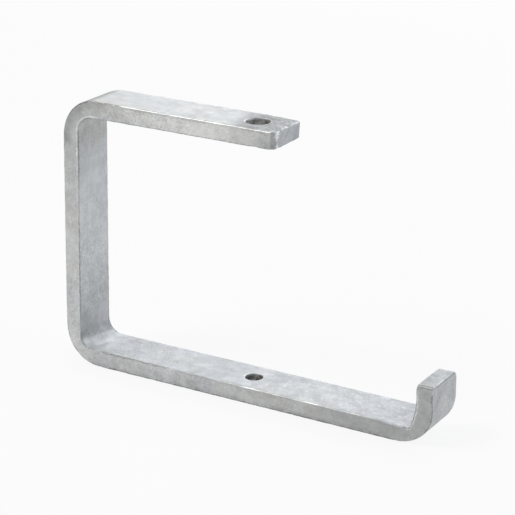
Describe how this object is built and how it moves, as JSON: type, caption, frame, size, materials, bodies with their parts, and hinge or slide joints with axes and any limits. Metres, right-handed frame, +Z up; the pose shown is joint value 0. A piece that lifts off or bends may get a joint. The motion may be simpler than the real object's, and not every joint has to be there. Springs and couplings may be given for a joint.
{
  "type": "open-type cable hanger bracket",
  "caption": "Flat steel bar bent into an open C with a short upturned lip, with a rod hole in the upper arm and a bolt hole in the lower arm, for hanging cable tray or cables.",
  "frame": {"origin": "on the common axis of the two holes, at the underside of the lower arm, which is the middle of the bracket's base", "axes": "+X from the leg to the lip, +Y across the width of the bar, +Z up along the hanging rod"},
  "size_m": [0.232, 0.03, 0.157],
  "materials": {
    "galvanised_steel": "hot-dip galvanised, dull pale grey with soft mottling"
  },
  "bodies": {
    "root": {"hanger_bar": "galvanised_steel"}
  },
  "joints": []
}
